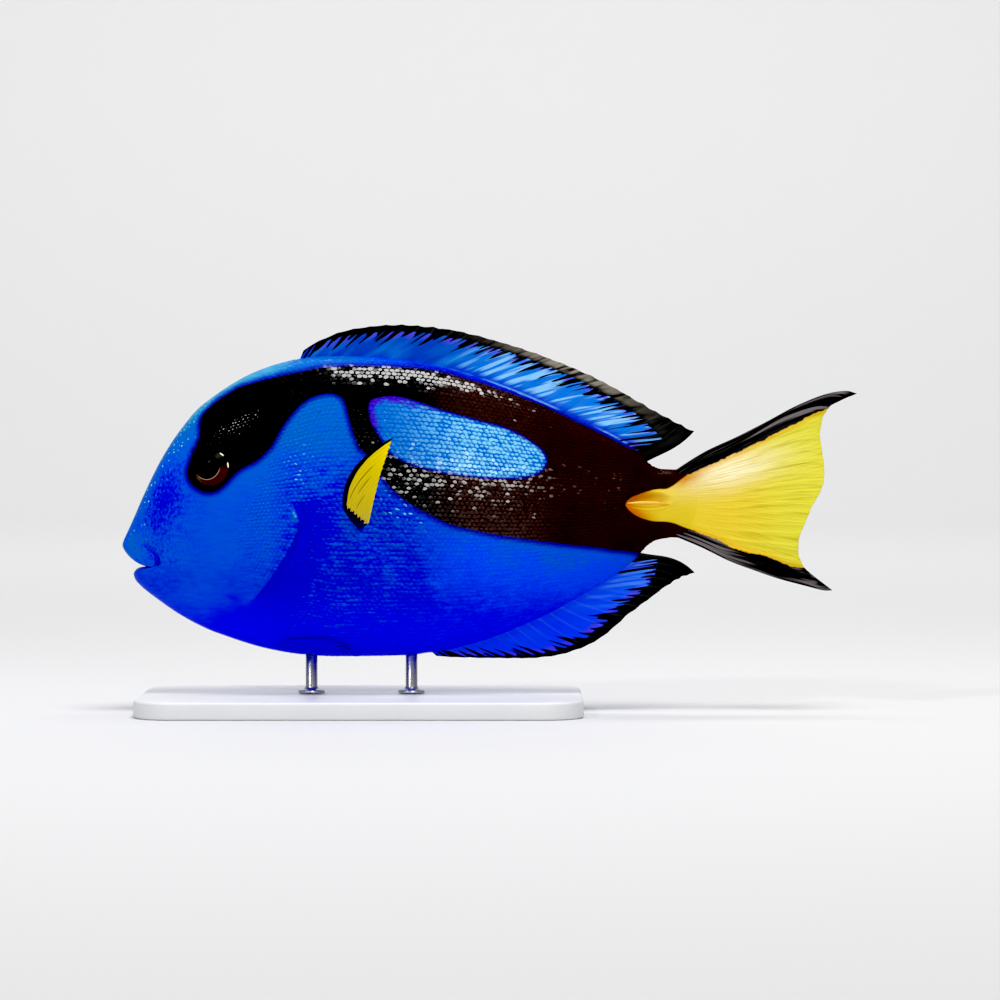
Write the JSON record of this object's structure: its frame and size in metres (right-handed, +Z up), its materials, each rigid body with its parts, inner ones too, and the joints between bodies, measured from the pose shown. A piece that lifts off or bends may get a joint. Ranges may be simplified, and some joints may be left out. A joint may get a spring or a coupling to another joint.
{
  "type": "regal blue tang",
  "caption": "Life-size regal blue tang, swimming level with its pectoral fins spread, held over a flat plate by two short rods.",
  "frame": {"origin": "bottom centre of the whole model, on the surface that the stand's plate rests on", "axes": "+X runs from the head to the tail, +Y to the fish's right side, +Z up"},
  "size_m": [0.25, 0.0896, 0.1316],
  "materials": {
    "blue": "satin scaled skin, azure on the head to ultramarine on the belly, with the black palette marking",
    "black": "satin black skin",
    "yellow": "satin yellow fin skin over soft rays",
    "fin_blue": "satin blue fin skin with a black margin",
    "eye": "glossy dark brown eye",
    "stand": "satin pale grey paint",
    "steel": "brushed steel"
  },
  "bodies": {
    "root": {"head": "blue", "lower_jaw": "blue", "gill_cover_left": "blue", "gill_cover_right": "blue", "eye_left": "eye", "eye_right": "eye", "trunk": "blue", "tail_stalk": "black", "tail_spine_left": "yellow", "tail_spine_right": "yellow", "dorsal_fin": "fin_blue", "anal_fin": "fin_blue", "tail_fin_upper_lobe": "black", "tail_fin_web": "yellow", "tail_fin_lower_lobe": "black", "pectoral_fin_left": "yellow", "pectoral_fin_right": "yellow", "pelvic_fin_left": "fin_blue", "pelvic_fin_right": "fin_blue", "stand_base": "stand", "stand_rod_front": "steel", "stand_rod_rear": "steel"}
  },
  "joints": []
}
